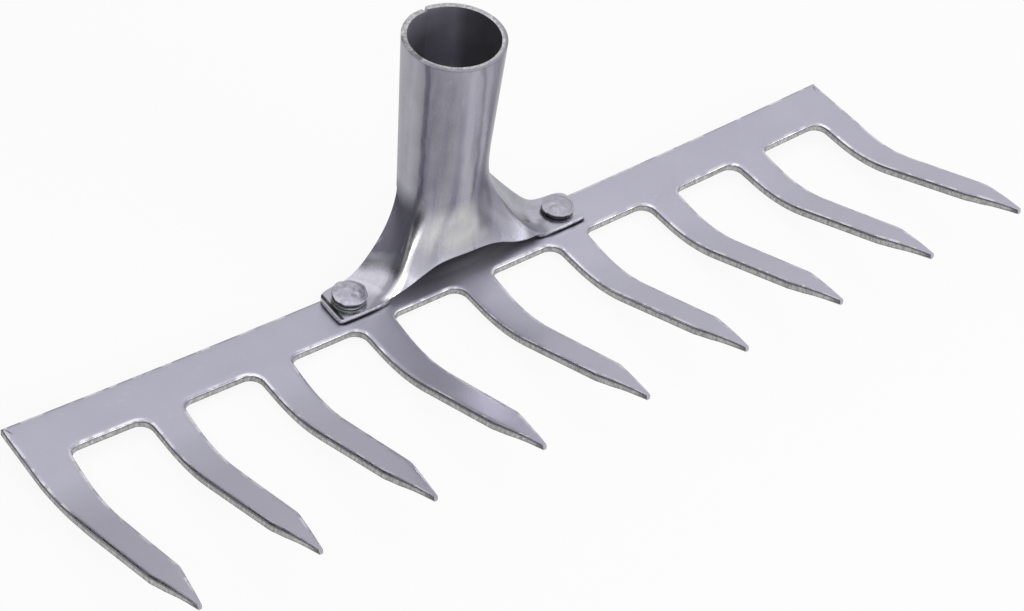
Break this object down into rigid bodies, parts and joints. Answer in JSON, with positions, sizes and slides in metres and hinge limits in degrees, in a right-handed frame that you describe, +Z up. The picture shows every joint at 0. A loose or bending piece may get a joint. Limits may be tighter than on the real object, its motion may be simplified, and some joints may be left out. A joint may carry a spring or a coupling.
{
  "type": "garden rake head",
  "caption": "Steel garden rake head: one stamped comb of upturned pointed tines, with a rolled tapered handle socket riveted across its back.",
  "frame": {"origin": "middle of the blade's underside, halfway between the roots of the tines and the back edge", "axes": "+X along the blade, +Z up out of the blade's face along the socket, tines point towards -Y"},
  "size_m": [0.35, 0.1381, 0.0968],
  "materials": {
    "blade_steel": "satin rolled steel sheet, bare",
    "socket_steel": "brighter rolled steel with soft lengthwise streaks",
    "rivet_steel": "satin steel, hammered heads"
  },
  "bodies": {
    "root": {"tine_blade": "blade_steel", "handle_socket": "socket_steel", "rivet_left": "rivet_steel", "rivet_right": "rivet_steel"}
  },
  "joints": []
}
